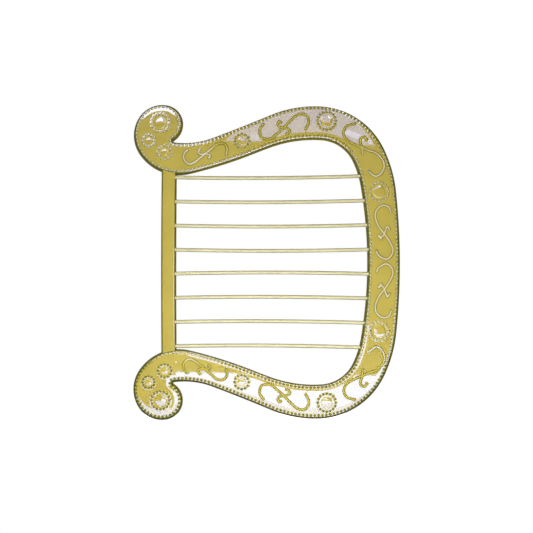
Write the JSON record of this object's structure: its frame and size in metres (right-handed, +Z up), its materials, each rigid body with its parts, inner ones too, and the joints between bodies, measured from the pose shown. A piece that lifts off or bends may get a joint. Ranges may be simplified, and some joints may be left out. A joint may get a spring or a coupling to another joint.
{
  "type": "lyre",
  "caption": "Gold moulded-plastic costume lyre: a curved open bow ending in two round volutes, closed by a straight crossbar and crossed by stiff parallel strings that flex when plucked.",
  "frame": {"origin": "centre of the footprint of the bounding box, at the ground under the lower volute", "axes": "+Z up across the bow from the lower volute to the upper one, +X along the strings from the crossbar to the bow, front face towards -Y"},
  "size_m": [0.2786, 0.0176, 0.33],
  "materials": {
    "gold_shell": "glossy gold, fine metallic grain under a clear coat",
    "gold_string": "glossy gold, same plastic as the shells",
    "screw_steel": "zinc-plated"
  },
  "bodies": {
    "frame": {"front_shell": "gold_shell", "back_cover": "gold_shell", "crossbar_front": "gold_shell", "crossbar_back": "gold_shell", "cover_screws": "screw_steel", "tongue_screws": "screw_steel"},
    "string_1": {"string_1": "gold_string"},
    "string_2": {"string_2": "gold_string"},
    "string_3": {"string_3": "gold_string"},
    "string_4": {"string_4": "gold_string"},
    "string_5": {"string_5": "gold_string"},
    "string_6": {"string_6": "gold_string"},
    "string_7": {"string_7": "gold_string"},
    "string_8": {"string_8": "gold_string"}
  },
  "joints": [
    {"name": "string_1_pluck", "type": "slide", "parent": "frame", "child": "string_1", "axis": [0, 0, 1], "range_m": [-0.003, 0.003], "stiffness_N_per_m": 600, "deforming": ["string_1"]},
    {"name": "string_2_pluck", "type": "slide", "parent": "frame", "child": "string_2", "axis": [0, 0, 1], "range_m": [-0.003, 0.003], "stiffness_N_per_m": 600, "deforming": ["string_2"]},
    {"name": "string_3_pluck", "type": "slide", "parent": "frame", "child": "string_3", "axis": [0, 0, 1], "range_m": [-0.003, 0.003], "stiffness_N_per_m": 600, "deforming": ["string_3"]},
    {"name": "string_4_pluck", "type": "slide", "parent": "frame", "child": "string_4", "axis": [0, 0, 1], "range_m": [-0.003, 0.003], "stiffness_N_per_m": 600, "deforming": ["string_4"]},
    {"name": "string_5_pluck", "type": "slide", "parent": "frame", "child": "string_5", "axis": [0, 0, 1], "range_m": [-0.003, 0.003], "stiffness_N_per_m": 600, "deforming": ["string_5"]},
    {"name": "string_6_pluck", "type": "slide", "parent": "frame", "child": "string_6", "axis": [0, 0, 1], "range_m": [-0.003, 0.003], "stiffness_N_per_m": 600, "deforming": ["string_6"]},
    {"name": "string_7_pluck", "type": "slide", "parent": "frame", "child": "string_7", "axis": [0, 0, 1], "range_m": [-0.003, 0.003], "stiffness_N_per_m": 600, "deforming": ["string_7"]},
    {"name": "string_8_pluck", "type": "slide", "parent": "frame", "child": "string_8", "axis": [0, 0, 1], "range_m": [-0.003, 0.003], "stiffness_N_per_m": 600, "deforming": ["string_8"]}
  ]
}
